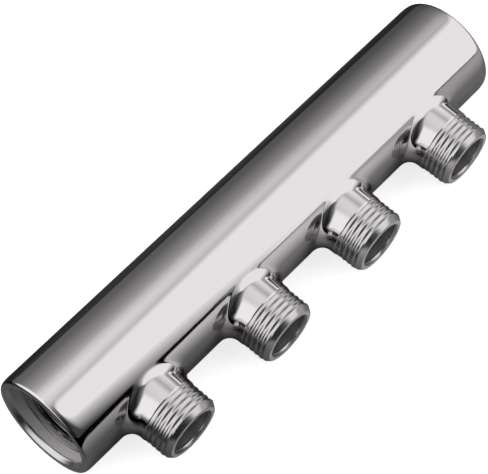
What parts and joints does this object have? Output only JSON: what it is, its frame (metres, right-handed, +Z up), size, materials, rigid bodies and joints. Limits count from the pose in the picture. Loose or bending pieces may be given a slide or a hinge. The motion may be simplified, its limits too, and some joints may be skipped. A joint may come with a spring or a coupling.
{
  "type": "pipe manifold",
  "caption": "Straight polished steel pipe manifold: a round trunk threaded inside at both ends, with a row of male-threaded outlets along one side that share out water to hoses.",
  "frame": {"origin": "on the ground under the middle of the bounding box, with the manifold lying at rest", "axes": "+X along the trunk, -Y the side the outlets point to, dipping until their noses touch the ground, +Z up"},
  "size_m": [0.182, 0.0506, 0.035],
  "materials": {
    "polished_stainless_steel": "polished"
  },
  "bodies": {
    "root": {"manifold_body": "polished_stainless_steel"}
  },
  "joints": []
}
